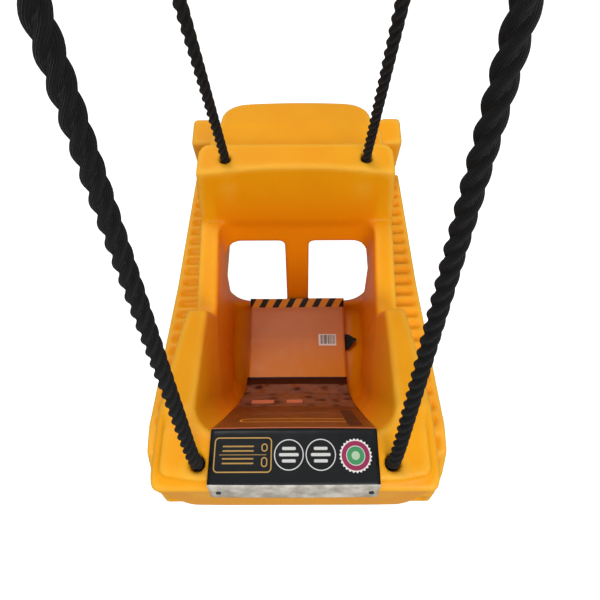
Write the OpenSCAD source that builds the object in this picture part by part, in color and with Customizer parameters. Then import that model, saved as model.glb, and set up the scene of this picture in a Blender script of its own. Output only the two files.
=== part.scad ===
// Bulldozer-shaped toddler bucket swing on two folded ropes.
// X is the child's right, Y is forward, Z is up. The seat is drawn from the plane
// of its rope holes and then hung, so that the origin lies midway between the
// two points where the carabiners hang.

/* [Rope] */
// Rope diameter
rope_d = 13; // [12.5:0.1:13.2]
// Height of the hanging points above the rope holes
hang_h = 850; // [840:5:870]
// Sideways distance of each hanging point from the middle
hang_x = 88; // [84:1:92]
// Distance of the hanging points in front of the rear rope holes
hang_y = 250; // [244:1:256]

/* [Seat] */
// Half of the width between the inner side faces
inner_x = 118; // [116:1:120]
// Half of the width over the side walls
wall_x = 150; // [148:1:152]
// Half of the width over the crawler tracks
track_x = 203; // [198:1:208]
// Wall thickness of the hollow moulding
skin = 3.5; // [3:0.5:5]
// Wall thickness of the nose, hood and blade
nose_skin = 2.8; // [2:0.2:3.6]
// Depth of the underside below the rope holes
base_z = 322; // [318:1:326]
// Height of the leg openings, measured down the front panel
leg_h = 158; // [150:1:160]

/* [Crawler tracks] */
// Number of cleats along the top run of one track
cleats = 19; // [15:1:20]
// How far a cleat stands proud
cleat_h = 7; // [4:1:8]

/* [Carabiners] */
// Wire diameter
wire_d = 10; // [9:0.5:10]
// Clear width inside
bow_w = 24; // [23:0.5:25]
// Length of the straight side
bow_l = 58; // [56:1:60]

/* [Hidden] */

hole_x = 100;                 // rope holes, sideways
front_y = 404;                // front rope holes, forward of the rear ones
bore_r = 8;                   // rope hole radius
shelf_t = 28;                 // depth of a rope hole down to its knot recess
well_r = 19;                  // knot recess radius
tube_r = well_r + skin;
washer_r = 17;
washer_t = 2;
knot_r = 15;
knot_h = 24;
floor_z = -306;               // top of the seat floor
under_dash = -94;             // underside of the dash and of the hood
panel_top = [370, under_dash];
panel_lean = 18;              // lean of the front panel
panel_t = 24;
panel_rise = 30;              // how far the panel runs up into the dash before it is cut
panel_drop = 240;             // and down below the floor
sill_drop = 225;              // lower end of the panel's hollow
post_w = 40;                  // crotch post between the leg openings
leg_top = -50;                // upper edge of a leg opening, down the front panel
leg_x = 130;                  // outer edge of a leg opening, which runs into the side wall
nose_y = 480;                 // rear face of the nose
blade_y = 552;                // rear face of the blade
dash_x = 139;                 // half of the dash's width at its top; it flares to the side walls
hood_x = 121;                 // half of the hood's width
blade_x = 192;                // half of the blade's width
yellow = [1, 0.72, 0.05];
dark = [0.06, 0.06, 0.06];

// Side outlines as [Y, Z], counterclockwise.
back_outline = [[-38, -base_z], [150, -base_z], [150, floor_z + 6], [142, -288], [110, -240],
                [86, -172], [46, -52], [30, 0], [-20, 0], [-26.5, -22], [-38, -110]];
wall_outline = [[-38, -base_z], [321, -base_z], [386, -120], [nose_y, -120], [nose_y, under_dash],
                [352, under_dash], [300, -106], [226, -122], [208, -120], [204, -76], [150, -48],
                [60, -6], [30, 0], [-20, 0], [-26.5, -22], [-38, -110]];
dash_outline = [[368, under_dash], [432, under_dash], [432, 0], [380, 0]];
hood_outline = [[432, under_dash], [558, under_dash], [562, -48], [555, -36], [432, -16]];
nose_outline = [[nose_y, -base_z], [blade_y, -base_z], [blade_y, under_dash], [nose_y, under_dash]];
blade_outline = [[blade_y, -base_z], [600, -base_z], [582, -230], [612, -126], [600, -118],
                 [blade_y, -124]];
// Top run of a crawler track, from the rear.
run = [[60, -146], [150, -164], [300, -194], [480, -214]];
track_outline = concat([[-2, -base_z], [blade_y, -base_z], [blade_y, -222]], [for (i = [3:-1:0]) run[i]],
                       [[28, -152], [4, -184], [-18, -234], [-28, -272], [-22, -302]]);

// Polygon moved inwards by t.
function inset(p, t) = let (n = len(p)) [for (i = [0:n - 1])
    let (a = p[i] - p[(i + n - 1) % n], b = p[(i + 1) % n] - p[i],
         u = [-a[1], a[0]] / norm(a), v = [-b[1], b[0]] / norm(b))
    p[i] + t * (u + v) / (1 + u * v)];

// Band of thickness t along an open path, as a polygon.
function band(p, t) = let (n = len(p), side = [for (i = [0:n - 1])
        let (a = i > 0 ? p[i] - p[i - 1] : p[1] - p[0],
             b = i < n - 1 ? p[i + 1] - p[i] : a,
             u = [-a[1], a[0]] / norm(a), v = [-b[1], b[0]] / norm(b))
        (u + v) / (1 + u * v) * t / 2])
    concat([for (i = [0:n - 1]) p[i] - side[i]], [for (i = [n - 1:-1:0]) p[i] + side[i]]);

// Points and faces of a tube of radius r along a route that stays in a plane of constant X.
tube_sides = 10;
function tube_points(p, r) = let (n = len(p)) [for (i = [0:n - 1])
    let (a = i > 0 ? p[i] - p[i - 1] : p[1] - p[0],
         b = i < n - 1 ? p[i + 1] - p[i] : a,
         t = a / norm(a) + b / norm(b), d = t / norm(t),
         e = [1, 0, 0] - d * d[0], u = e / norm(e), w = cross(d, u))
    for (k = [0:tube_sides - 1]) let (q = 360 * k / tube_sides) p[i] + r * (u * cos(q) + w * sin(q))];
function tube_faces(n) = concat(
    [[for (k = [0:tube_sides - 1]) k]],
    [for (i = [0:n - 2]) for (k = [0:tube_sides - 1]) let (m = (k + 1) % tube_sides)
        [i * tube_sides + k, (i + 1) * tube_sides + k, (i + 1) * tube_sides + m, i * tube_sides + m]],
    [[for (k = [tube_sides - 1:-1:0]) (n - 1) * tube_sides + k]]);

module tube(p, r) polyhedron(tube_points(p, r), tube_faces(len(p)));

// Outline [Y, Z] carried across from x0 to x1.
module prism(p, x0, x1) translate([x0, 0, 0]) rotate([90, 0, 90]) linear_extrude(x1 - x0) polygon(p);

// The same, hollow, with walls of the moulding's thickness.
module hollow(p, x0, x1, t = skin) difference() {
    prism(p, x0, x1);
    prism(inset(p, t), x0 + t, x1 - t);
}

// From the seat's own plane to the hanging points.
module hung() translate([0, -hang_y, -hang_h]) children();
module both() { children(); mirror([1, 0, 0]) children(); }
module on_side(s) mirror([s < 0 ? 1 : 0, 0, 0]) children();

// ---- moulded seat ----
module rope_well(y, z0) {
    translate([hole_x, y, z0 - 1]) cylinder(h = -shelf_t - z0 + 1, r = well_r, $fn = 48);
    translate([hole_x, y, -shelf_t - 1]) cylinder(h = shelf_t + 2, r = bore_r, $fn = 36);
}

module seat_back() color(yellow) hung() difference() {
    prism(back_outline, -inner_x, inner_x);
    difference() {
        prism(inset(back_outline, skin), -inner_x + skin, inner_x - skin);
        both() translate([hole_x, 0, -base_z]) cylinder(h = base_z, r = tube_r, $fn = 48);
    }
    both() rope_well(0, -base_z);
}

module seat_floor() color(yellow) hung() difference() {
    translate([-inner_x, 150, -base_z]) cube([2 * inner_x, 160, base_z + floor_z]);
    loop_places() translate([0, 0, floor_z - 9]) cylinder(h = 10, r = 2.1, $fn = 24);
}

// Leg opening in the front panel's own plane: half of the crotch post, then [sideways, down, radius] corners.
module at_panel() translate([0, panel_top[0], panel_top[1]]) rotate([-panel_lean, 0, 0]) children();
module leg_opening(grow, y0, y1) translate([0, y0, leg_top]) rotate([90, 0, 0]) mirror([0, 0, 1])
    linear_extrude(y1 - y0) hull()
        for (c = [[post_w / 2 + 10, 10, 10], [post_w / 2 + 10, leg_h - 10, 10],
                  [leg_x - 27, 27, 27], [leg_x - 42, leg_h - 42, 42]])
            translate([c[0], -c[1]]) circle(r = c[2] + grow, $fn = 32);

module side_wall(s) color(yellow) hung() on_side(s) difference() {
    prism(wall_outline, inner_x, wall_x);
    difference() {
        prism(inset(wall_outline, skin), inner_x + skin, wall_x - skin);
        at_panel() leg_opening(skin, -18, 60);
    }
    at_panel() leg_opening(0, -14, 80);
}
module side_wall_left() side_wall(-1);
module side_wall_right() side_wall(1);

module front_panel() color(yellow) hung() difference() {
    at_panel() difference() {
        translate([-inner_x, 0, -panel_drop]) cube([2 * inner_x, panel_t, panel_drop + panel_rise]);
        both() leg_opening(0, -1, panel_t + 1);
        difference() {
            translate([-inner_x + skin, skin, -sill_drop])
                cube([2 * (inner_x - skin), panel_t - 2 * skin, sill_drop - 2 * skin]);
            both() leg_opening(skin, 0, panel_t);
        }
    }
    translate([-200, 300, under_dash]) cube([400, 200, 100]);
    translate([-200, 200, -base_z - 100]) cube([400, 200, 100]);
    translate([-200, 250, -base_z - 1]) cube([400, 60, base_z + floor_z + 1]);
}

// Space between the dash's flared sides, t inside them.
module flared(t) translate([0, dash_outline[0][0], 0]) rotate([-90, 0, 0]) linear_extrude(70)
    polygon([[-dash_x + t, -1], [dash_x - t, -1], [wall_x - t, 1 - under_dash], [-wall_x + t, 1 - under_dash]]);

module dash() color(yellow) hung() difference() {
    intersection() {
        prism(dash_outline, -wall_x - 1, wall_x + 1);
        flared(0);
    }
    difference() {
        intersection() {
            prism(inset(dash_outline, skin), -wall_x, wall_x);
            flared(skin);
        }
        both() translate([hole_x, front_y, under_dash]) cylinder(h = -under_dash, r = tube_r, $fn = 48);
    }
    both() rope_well(front_y, under_dash);
}

module hood() color(yellow) hung() hollow(hood_outline, -hood_x, hood_x, nose_skin);
// The nose is open towards the blade, which closes it.
module nose() color(yellow) hung() difference() {
    prism(nose_outline, -wall_x, wall_x);
    translate([-wall_x + nose_skin, nose_y + nose_skin, -base_z + nose_skin])
        cube([2 * (wall_x - nose_skin), blade_y - nose_y, base_z + under_dash - 2 * nose_skin]);
}
module blade() color(yellow) hung() hollow(blade_outline, -blade_x, blade_x, nose_skin);

module track(s) color(yellow) hung() on_side(s) {
    hollow(track_outline, wall_x, track_x);
    for (i = [0:cleats - 1]) {
        y = 50 + i * 430 / cleats;
        k = y < run[1][0] ? 0 : y < run[2][0] ? 1 : 2;
        slope = (run[k + 1] - run[k]) / norm(run[k + 1] - run[k]);
        z = run[k][1] + (max(y, run[0][0]) - run[k][0]) * slope[1] / slope[0];
        translate([wall_x + 1, y, z]) rotate([atan2(slope[1], slope[0]), 0, 0])
            translate([0, 0, -2]) cube([track_x - wall_x - 2, 12, cleat_h + 2]);
    }
}
module track_left() track(-1);
module track_right() track(1);

// ---- ropes and their fittings ----
wire_r = wire_d / 2;
bend_r = bow_w / 2 + wire_r;            // centreline of the end bends
bow_z = -(bow_l + 2 * bend_r - wire_r); // centreline of the lower bend
eye_in = 16;                            // thimble: clear radius
eye_groove = 20;
eye_out = 27;
eye_w = 7.8;                            // half of the thimble's width
eye_z = bow_z + wire_r + 2.8 - eye_in;  // thimble centre, hung from the wire
neck = 7;                               // half of the distance between the rope's legs in the ferrule
loop_r = 27;                            // rope centreline round the thimble
ferrule_z = eye_z - 66;                 // ferrule's lower edge
ferrule_h = 28;

// Rope route from the rear knot round the thimble to the front knot, at X = 0 and
// measured from the hanging point; the rear leg is [forward, up] and then moves to hang_x.
rear_foot = [-hang_y, -hang_h];
front_foot = [front_y - hang_y, -hang_h];
route = concat(
    [[hole_x, rear_foot[0], -hang_h - shelf_t - washer_t], [hole_x, rear_foot[0], -hang_h - 2],
     [hole_x - 0.2, rear_foot[0] + 3.4, -hang_h + 18], [hole_x - 0.6, rear_foot[0] + 12.6, -hang_h + 46]],
    [[hang_x + 0.4, -16.5, -200], [hang_x, -9.8, -181], [hang_x, -neck, -164], [hang_x, -neck, -132],
     [hang_x, -11.5, -121.5], [hang_x, -19, -113]],
    [for (q = [202:-16:-22]) [hang_x, loop_r * cos(q), eye_z + loop_r * sin(q)]],
    [[hang_x, 19, -113], [hang_x, 11.5, -121.5], [hang_x, neck, -132], [hang_x, neck, -164],
     [hang_x, 9, -181], [hang_x + 0.4, 13.2, -200]],
    [[hole_x - 0.6, front_foot[0] - 8.2, -hang_h + 46], [hole_x - 0.2, front_foot[0] - 2.2, -hang_h + 18],
     [hole_x, front_foot[0], -hang_h - 2], [hole_x, front_foot[0], -hang_h - shelf_t - washer_t]]);

module rope(s) color(dark) on_side(s) tube(route, rope_d / 2);
module rope_left() rope(-1);
module rope_right() rope(1);

module knot_places() hung() both() for (y = [0, front_y])
    translate([hole_x, y, -shelf_t]) children();

module knot_washers() color("silver") knot_places() difference() {
    translate([0, 0, -washer_t]) cylinder(h = washer_t, r = washer_r, $fn = 48);
    translate([0, 0, -washer_t - 1]) cylinder(h = washer_t + 2, r = rope_d / 2 + 0.5, $fn = 36);
}

module stopper_knots() color(dark) knot_places() translate([0, 0, -washer_t - knot_h / 2])
    intersection() {
        sphere(r = knot_r + 1, $fn = 40);
        translate([0, 0, -knot_h / 2]) cylinder(h = knot_h, r = knot_r, $fn = 40);
    }

module thimble(s) color("silver") translate([s * hang_x, 0, eye_z]) rotate([0, 90, 0])
    rotate_extrude($fn = 64) polygon([[eye_in, -6.8], [eye_in + 1, -eye_w], [eye_out, -eye_w],
        [eye_out, -6.8], [eye_groove, -6.6], [eye_groove, 6.6], [eye_out, 6.8], [eye_out, eye_w],
        [eye_in + 1, eye_w], [eye_in, 6.8]]);
module thimble_left() thimble(-1);
module thimble_right() thimble(1);

module two_legs(r, h) {
    for (y = [-neck, neck]) translate([0, y, 0]) cylinder(h = h, r = r, $fn = 40);
    translate([-r, -neck, 0]) cube([2 * r, 2 * neck, h]);
}
module ferrule(s) color(dark) translate([s * hang_x, 0, ferrule_z]) difference() {
    two_legs(rope_d / 2 + 3.2, ferrule_h);
    translate([0, 0, -1]) for (y = [-neck, neck]) translate([0, y, 0])
        cylinder(h = ferrule_h + 2, r = rope_d / 2 + 0.2, $fn = 40);
}
module ferrule_left() ferrule(-1);
module ferrule_right() ferrule(1);

// ---- carabiners ----
pivot_z = bow_z + bend_r + 13;          // gate hinge
gate_l = bow_l - 22;                    // from the hinge to the nose
gate_r = 4.6;
pin_r = 1.6;

module bend(up) translate([0, 0, up > 0 ? bow_z + bend_r + bow_l : bow_z + bend_r])
    rotate([90, 0, 0]) rotate([0, 0, up > 0 ? 0 : 180])
        rotate_extrude(angle = 180, $fn = 72) translate([bend_r, 0]) circle(r = wire_r, $fn = 32);

module carabiner(s) color("dimgray") translate([s * hang_x, 0, 0]) on_side(s) difference() {
    union() {
        bend(1);
        bend(-1);
        translate([bend_r, 0, bow_z + bend_r]) cylinder(h = bow_l, r = wire_r, $fn = 32);
        translate([-bend_r, 0, bow_z + bend_r]) cylinder(h = 18, r = wire_r, $fn = 32);
        translate([-bend_r, 0, pivot_z + gate_l + 1]) cylinder(h = bow_l - 14 - gate_l, r = wire_r, $fn = 32);
    }
    // slot for the gate's tongue, and the hinge hole
    translate([-bend_r - 6, -1.7, pivot_z - 5]) cube([12, 3.4, 12]);
    translate([-bend_r, 10, pivot_z]) rotate([90, 0, 0]) cylinder(h = 20, r = pin_r + 0.02, $fn = 32);
}
module carabiner_left() carabiner(-1);
module carabiner_right() carabiner(1);

module gate(s) color("silver") translate([s * hang_x, 0, 0]) on_side(s) difference() {
    union() {
        translate([-bend_r, 0, pivot_z + 7.4]) cylinder(h = gate_l - 7.4, r = gate_r, $fn = 32);
        translate([-bend_r - 3, -1.4, pivot_z]) cube([6, 2.8, 7.4]);
        translate([-bend_r, 1.4, pivot_z]) rotate([90, 0, 0]) cylinder(h = 2.8, r = 3, $fn = 32);
    }
    translate([-bend_r, 10, pivot_z]) rotate([90, 0, 0]) cylinder(h = 20, r = pin_r + 0.05, $fn = 32);
    translate([-bend_r, 0, pivot_z + 10]) cylinder(h = gate_l - 14, r = 2.6, $fn = 32);
}
module gate_left() gate(-1);
module gate_right() gate(1);

module gate_pin(s) color("gray") translate([s * (hang_x - bend_r), 4.8, pivot_z]) rotate([90, 0, 0])
    cylinder(h = 9.6, r = pin_r, $fn = 32);
module gate_pin_left() gate_pin(-1);
module gate_pin_right() gate_pin(1);

// Compression spring in the gate, drawn as a plain sleeve of the coil's size.
module gate_spring(s) color("gray") translate([s * (hang_x - bend_r), 0, pivot_z + 10.3]) difference() {
    cylinder(h = gate_l - 14.6, r = 2.3, $fn = 32);
    translate([0, 0, -1]) cylinder(h = gate_l, r = 1.5, $fn = 32);
}
module gate_spring_left() gate_spring(-1);
module gate_spring_right() gate_spring(1);

// ---- lap strap ----
strap_y = 236;
strap_w = 30;
strap_t = 2.4;
loop_x = 58;
buckle_h = 12;

module loop_places() for (x = [-loop_x, loop_x]) for (y = [-21, 21])
    translate([x, strap_y + y, 0]) children();

module strap(x0, x1) translate([x0, strap_y - strap_w / 2, floor_z + 0.4])
    cube([x1 - x0, strap_w, strap_t]);
module strap_left() color(dark) hung() strap(-84, -24.3);
module strap_right() color(dark) hung() strap(32.3, 108);

module strap_loops() color(dark) hung() difference() {
    for (x = [-loop_x, loop_x]) translate([x - 6, strap_y - 26, floor_z]) cube([12, 52, 6.5]);
    for (x = [-loop_x, loop_x]) translate([x - 7, strap_y - 16, floor_z - 1]) cube([14, 32, 5]);
    loop_places() translate([0, 0, floor_z - 1]) cylinder(h = 10, r = 2.1, $fn = 24);
}

module loop_screws() color("silver") hung() loop_places() {
    translate([0, 0, floor_z - 8]) cylinder(h = 15, r = 2, $fn = 24);
    translate([0, 0, floor_z + 6.5]) cylinder(h = 2, r = 3.8, $fn = 32);
}

module buckle_housing() color(dark) hung() difference() {
    translate([-2, strap_y - 19, floor_z + 0.2]) cube([34, 38, buckle_h]);
    translate([-3, strap_y - 13, floor_z + 3]) cube([24, 26, 6.4]);
    for (m = [0, 1]) translate([0, strap_y, 0]) mirror([0, m, 0])
        translate([5, 12, floor_z + 2.6]) cube([11, 8, 7.2]);
    translate([24, strap_y - 15.5, floor_z - 1]) cube([4, 31, 20]);
}

module buckle_insert() color(dark) hung() {
    difference() {
        translate([-24, strap_y - 19, floor_z + 0.2]) cube([21.7, 38, buckle_h]);
        translate([-20, strap_y - 15.5, floor_z - 1]) cube([4, 31, 20]);
    }
    translate([-2.3, strap_y - 3, floor_z + 3.8]) cube([18, 6, 4.8]);
    for (m = [0, 1]) translate([0, strap_y, 0]) mirror([0, m, 0])
        translate([-2.3, 8.4, floor_z + 3.8]) cube([20, 4, 4.8]);
}

// ---- folded card over the seat back ----
card_w = 173;
card_t = 1.6;
card_route = [[-30.5, -28], [-21, 2.4], [33, 2.4], [54, -62], [100, -190], [130, -248], [160, -279], [236, -285],
              [290, -279], [309, -265]];
card_pin_x = 78;

module hang_card() color([0.55, 0.25, 0.1]) hung() difference() {
    prism(band(card_route, card_t), -card_w / 2 - 1, card_w / 2 - 1);
    card_pin_places() translate([0, 0, -2]) cylinder(h = 4, r = 1.2, $fn = 24);
}
// Along the outward normal of the card's rear flap.
module card_pin_places() for (x = [-card_pin_x, card_pin_x])
    translate([x, -26.1, -14]) rotate([72.7, 0, 0]) children();
module card_pins() color(dark) hung() card_pin_places() {
    translate([0, 0, 0.9]) cylinder(h = 1.2, r = 2.6, $fn = 32);
    translate([0, 0, -0.9]) cylinder(h = 2, r = 1.1, $fn = 24);
}

seat_back();
seat_floor();
side_wall_left();
side_wall_right();
front_panel();
dash();
hood();
nose();
blade();
track_left();
track_right();
rope_left();
rope_right();
knot_washers();
stopper_knots();
thimble_left();
thimble_right();
ferrule_left();
ferrule_right();
carabiner_left();
carabiner_right();
gate_left();
gate_right();
gate_pin_left();
gate_pin_right();
gate_spring_left();
gate_spring_right();
strap_left();
strap_right();
buckle_housing();
buckle_insert();
strap_loops();
loop_screws();
hang_card();
card_pins();
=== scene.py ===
"""Looks of a bulldozer-shaped toddler bucket swing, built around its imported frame.

Tables of points are in millimetres from the seat's own plane: X to the child's right, Y forward from the
rear rope holes, Z up from the rims of the holes. place() turns them into metres in the frame, whose origin
lies midway between the two hanging points.
"""
import math

import bpy
import numpy as np
from mathutils import Matrix, Vector


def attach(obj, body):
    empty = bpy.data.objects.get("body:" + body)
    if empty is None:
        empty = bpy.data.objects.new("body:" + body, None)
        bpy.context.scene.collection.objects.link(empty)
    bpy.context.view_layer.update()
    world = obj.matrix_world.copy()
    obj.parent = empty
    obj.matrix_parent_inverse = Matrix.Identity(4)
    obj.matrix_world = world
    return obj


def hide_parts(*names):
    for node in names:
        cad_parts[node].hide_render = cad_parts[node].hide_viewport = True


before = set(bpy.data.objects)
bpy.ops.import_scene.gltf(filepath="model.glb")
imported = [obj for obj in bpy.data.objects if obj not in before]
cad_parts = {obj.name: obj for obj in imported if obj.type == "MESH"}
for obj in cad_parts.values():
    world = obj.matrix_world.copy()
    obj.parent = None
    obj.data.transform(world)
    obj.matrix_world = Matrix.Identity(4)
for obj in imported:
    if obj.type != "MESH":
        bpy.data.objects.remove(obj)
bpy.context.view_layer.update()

# ---- shared sizes, in millimetres ----
HANG = np.array([0.0, 250.0, 850.0])       # hanging points, from the seat's plane
HOLE_X, FRONT_HOLE_Y = 100.0, 404.0        # rope holes: half their spacing, and the front pair's place
BOWL_X, WALL_X, TRACK_X = 118.0, 150.0, 203.0    # half widths: hollow, walls, over the tracks
DASH_X, HOOD_X, BLADE_X = 139.0, 121.0, 192.0    # half widths in front
BASE_Z, FLOOR_Z, UNDER_DASH = -322.0, -306.0, -94.0
SHELF_DEPTH = 28.0                         # rim of a rope hole to the washer below it
PANEL_TOP, PANEL_LEAN = np.array([370.0, UNDER_DASH]), math.radians(18)    # panel with the leg openings
ROPE_D = 13.0


def place(points):
    """Seat millimetres to frame metres: the hanging point is taken off, the rest divided by a thousand."""
    return (np.asarray(points, float) - HANG) / 1000


# ---- camera ----
def aim_camera(pitch, yaw, roll, eye, focal, drop):
    """A camera that looks down by pitch and turns by yaw and roll, in degrees. Its axes are right = X turned
    by yaw and roll, and forward = Y tipped down by pitch."""
    p, y, r = (math.radians(v) for v in (pitch, yaw, roll))
    spin = np.array([[math.cos(r), -math.sin(r), 0], [math.sin(r), math.cos(r), 0], [0, 0, 1]])
    level = np.array([[1, 0, 0], [0, -math.sin(p), -math.cos(p)], [0, math.cos(p), -math.sin(p)]])
    turn = np.array([[math.cos(y), -math.sin(y), 0], [math.sin(y), math.cos(y), 0], [0, 0, 1]])
    right, down, ahead = spin @ level @ turn
    data = bpy.data.cameras.new("camera")
    data.lens, data.sensor_width, data.shift_y = focal, 36, drop
    data.clip_start = 0.01
    camera = bpy.data.objects.new("camera", data)
    bpy.context.scene.collection.objects.link(camera)
    pose = Matrix([list(row) for row in np.stack([right, -down, -ahead], 1)]).to_4x4()
    pose.translation = place(eye)
    camera.matrix_world = pose
    bpy.context.scene.camera = camera


aim_camera(pitch=64.6, yaw=-0.59, roll=-0.81, eye=(8.1, -39.3, 479.3), focal=26.52, drop=-0.0067)


# ---- finishes ----
class Finish:
    """A named finish: a Principled shader and the nodes that feed it."""

    def __init__(self, name, **sockets):
        self.made = bpy.data.materials.new(name)
        self.made.use_nodes = True
        self.tree = self.made.node_tree
        self.shader = self.tree.nodes["Principled BSDF"]
        self.spot = self.add("ShaderNodeTexCoord").outputs["Object"]
        self.set(**sockets)

    def set(self, **sockets):
        """Values or sockets for the shader, with _ in place of a space in the socket's name."""
        for socket, value in sockets.items():
            self.put(self.shader.inputs[socket.replace("_", " ")], value)

    def put(self, socket, value):
        if isinstance(value, bpy.types.NodeSocket):
            self.tree.links.new(value, socket)
        else:
            socket.default_value = (*value, 1) if socket.type == "RGBA" and len(value) == 3 else value

    def add(self, kind, inputs=None, **settings):
        node = self.tree.nodes.new(kind)
        for key, value in settings.items():
            setattr(node, key, value)
        for key, value in (inputs or {}).items():
            self.put(node.inputs[key], value)
        return node

    def sum(self, operation, *values):
        """One Math node on one or two numbers."""
        return self.add("ShaderNodeMath", dict(enumerate(values)), operation=operation).outputs[0]

    def noise(self, scale, detail=2.0, roughness=0.5, at=None):
        return self.add("ShaderNodeTexNoise", {"Vector": at or self.spot, "Scale": scale, "Detail": detail,
                                               "Roughness": roughness}).outputs[0]

    def stretch(self, scale, at=None):
        """The coordinates multiplied, so that a pattern runs long in one direction."""
        return self.add("ShaderNodeMapping", {"Vector": at or self.spot, "Scale": scale}).outputs[0]

    def span(self, value, low, high, to_low=0.0, to_high=1.0):
        """The number carried from one span to another, and held at its ends."""
        return self.add("ShaderNodeMapRange", {0: value, 1: low, 2: high, 3: to_low, 4: to_high}).outputs[0]

    def mix(self, share, a, b, how="MIX"):
        node = self.add("ShaderNodeMix", data_type="RGBA", blend_type=how)
        self.put(node.inputs[0], share)
        self.put(node.inputs[6], a)
        self.put(node.inputs[7], b)
        return node.outputs[2]

    def bump(self, height, depth, after=None):
        """A normal from a height, depth metres at most, on top of another normal."""
        inputs = {"Height": height, "Distance": depth, "Strength": 1.0}
        if after is not None:
            inputs["Normal"] = after
        return self.add("ShaderNodeBump", inputs).outputs[0]

    def attribute(self, name):
        return self.add("ShaderNodeAttribute", attribute_name=name).outputs["Fac"]

    def uv(self):
        """The piece's own two coordinates, in millimetres."""
        parts = self.add("ShaderNodeSeparateXYZ", {0: self.add("ShaderNodeUVMap", uv_map="run").outputs[0]})
        return self.sum("MULTIPLY", parts.outputs[0], 1000.0), self.sum("MULTIPLY", parts.outputs[1], 1000.0)


def moulded_yellow():
    """Satin polyethylene: cloudy colour, orange peel, edges rubbed paler, creases and inner corners darkened
    as painted shade, and a deeper orange painted into the hollow as shade.
    """
    f = Finish("moulded_yellow", Specular_IOR_Level=0.22)
    cloud = f.span(f.noise(9, 3, 0.6), 0.3, 0.7)
    base = f.mix(cloud, (0.94, 0.365, 0.0015), (0.98, 0.415, 0.003))
    speck = f.span(f.noise(900, 2, 0.7), 0.62, 0.8, 0, 0.12)
    base = f.mix(speck, base, (0.99, 0.62, 0.08))
    edge = f.attribute("edge")
    base = f.mix(f.span(edge, 0.25, 1.0, 0, 0.35), base, (1.0, 0.66, 0.09))
    # painted shade: where the edge mark lies in, creases and inner corners are darkened to a dull orange
    base = f.mix(f.span(edge, -0.2, -1.0, 0, 0.30), base, (0.66, 0.22, 0.002))
    rub = f.noise(1, 4, 0.65, f.stretch((60, 9, 60)))
    rough = f.span(rub, 0.3, 0.7, 0.36, 0.47)
    # painted shade: the seat's hollow turned a deeper, darker orange
    base = f.mix(f.span(f.attribute("hollow"), 0, 1, 0, 0.85), base, (0.93, 0.255, 0.0))
    f.set(Base_Color=base, Roughness=f.sum("ADD", rough, f.span(edge, 0.2, 1, 0, 0.08)))
    peel = f.bump(f.noise(420, 3, 0.55), 0.00022)
    ripple = f.bump(f.noise(26, 2, 0.5), 0.0011, peel)
    f.set(Normal=ripple)
    return f.made


def rope_black():
    """Spun fibre: yarns run along each strand, and the strands are paler towards their crowns than in the
    valleys between them.
    """
    f = Finish("rope_black", Roughness=0.85, Specular_IOR_Level=0.2, Sheen_Weight=0.06, Sheen_Roughness=0.5)
    round_, along = f.uv()
    lay = f.sum("ADD", round_, f.sum("MULTIPLY", along, 0.42))
    yarn = f.sum("SINE", f.sum("MULTIPLY", lay, 5.2))
    fibre = f.noise(1, 3, 0.7, f.stretch((1600, 1600, 420)))
    crown = f.attribute("crown")
    tone = f.mix(f.span(fibre, 0.35, 0.75), (0.002, 0.002, 0.0022), (0.008, 0.008, 0.0085))
    tone = f.mix(f.span(crown, 0.2, 1.0, 0, 0.35), tone, (0.011, 0.011, 0.012))
    f.set(Base_Color=tone)
    height = f.sum("ADD", f.sum("MULTIPLY", yarn, 0.35), f.sum("MULTIPLY", fibre, 0.9))
    f.set(Normal=f.bump(height, 0.0007))
    return f.made


def plated(name, tone, rough, brush):
    """Zinc on steel: fine brushing one way, soft blotches in the gloss."""
    f = Finish(name, Metallic=1.0)
    grain = f.noise(1, 3, 0.6, f.stretch(brush))
    blotch = f.noise(70, 3, 0.6)
    dim = tuple(v * 0.74 for v in tone)
    f.set(Base_Color=f.mix(f.span(blotch, 0.35, 0.7), tone, dim),
          Roughness=f.sum("ADD", f.span(grain, 0.3, 0.7, rough - 0.06, rough + 0.08),
                          f.span(blotch, 0.4, 0.7, 0, 0.08)))
    f.set(Normal=f.bump(grain, 0.00006))
    return f.made


def woven_black():
    """Nylon webbing: two thread directions on the strap's own coordinates."""
    f = Finish("woven_black", Roughness=0.6, Specular_IOR_Level=0.35, Sheen_Weight=0.15, Sheen_Roughness=0.4)
    along, across = f.uv()
    warp = f.sum("SINE", f.sum("MULTIPLY", across, 4.2))
    weft = f.sum("SINE", f.sum("MULTIPLY", along, 3.4))
    weave = f.sum("MULTIPLY", warp, weft)
    fuzz = f.noise(1500, 2)
    f.set(Base_Color=f.mix(f.span(weave, -0.6, 0.9), (0.006, 0.006, 0.007), (0.026, 0.026, 0.03)),
          Normal=f.bump(f.sum("ADD", weave, f.sum("MULTIPLY", fuzz, 0.4)), 0.00035))
    return f.made


def dark_plastic(name="dark_plastic", rough=0.5, grain=700.0):
    """Moulded acetal with a spark-eroded texture."""
    f = Finish(name, Specular_IOR_Level=0.45)
    pits = f.noise(grain, 2, 0.6)
    worn = f.noise(60, 3, 0.6)
    f.set(Base_Color=f.mix(f.span(worn, 0.4, 0.75), (0.012, 0.012, 0.013), (0.03, 0.03, 0.032)),
          Roughness=f.span(pits, 0.3, 0.7, rough - 0.06, rough + 0.08), Normal=f.bump(pits, 0.00012))
    return f.made


YELLOW = moulded_yellow()
ROPE = rope_black()
STEEL = plated("zinc_steel", (0.58, 0.58, 0.57), 0.32, (900, 900, 60))
BRIGHT = plated("bright_zinc", (0.68, 0.68, 0.70), 0.22, (500, 500, 90))
SLEEVE = plated("pressed_aluminium", (0.62, 0.62, 0.63), 0.38, (700, 700, 200))
WEBBING = woven_black()
ACETAL = dark_plastic()
PIN = dark_plastic("gloss_pin", 0.28, 300.0)


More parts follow.
